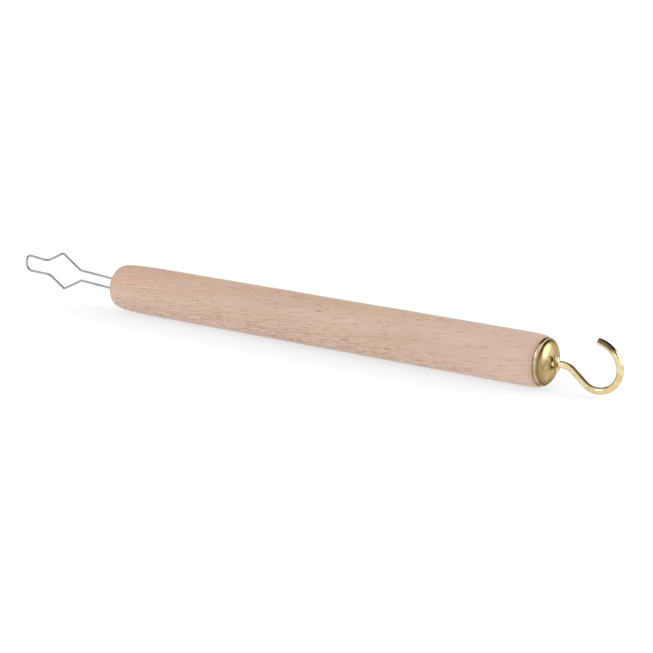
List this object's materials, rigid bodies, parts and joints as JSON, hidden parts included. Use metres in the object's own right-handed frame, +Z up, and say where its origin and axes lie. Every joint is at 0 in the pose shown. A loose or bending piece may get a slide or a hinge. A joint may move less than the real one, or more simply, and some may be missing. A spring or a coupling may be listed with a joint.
{
  "type": "button hook and zipper pull",
  "caption": "Round wooden dowel handle with a bent spring-wire button loop at one end and a domed brass cup with an open cup hook at the other.",
  "frame": {"origin": "on the surface that the tool lies on, under the middle of its length and under the handle's axis", "axes": "+X along the handle from the wire loop towards the cup hook, +Z up from the surface that it lies on"},
  "size_m": [0.2295, 0.0158, 0.0178],
  "materials": {
    "beech": "sanded beech under a thin clear satin finish",
    "spring_steel": "drawn spring wire, satin grey",
    "glue": "set amber wood glue",
    "cup_brass": "pressed sheet brass, bright lacquered",
    "hook_brass": "polished brass wire"
  },
  "bodies": {
    "handle": {"handle": "beech", "button_loop": "spring_steel", "leg_glue_upper": "glue", "leg_glue_lower": "glue"},
    "cup": {"cup": "cup_brass"},
    "cup_hook": {"cup_hook": "hook_brass"}
  },
  "joints": [
    {"name": "screw_travel", "type": "slide", "parent": "handle", "child": "cup", "axis": [1, 0, 0], "range_m": [0, 0.01]},
    {"name": "hook_turn", "type": "hinge", "parent": "cup", "child": "cup_hook", "pos_m": [0.08962, 0, 0.0079], "axis": [1, 0, 0], "range_deg": [0, 2880]}
  ],
  "couplings": [
    {"joint": "hook_turn", "follows": "screw_travel", "rad_per_m": 5026.5}
  ]
}
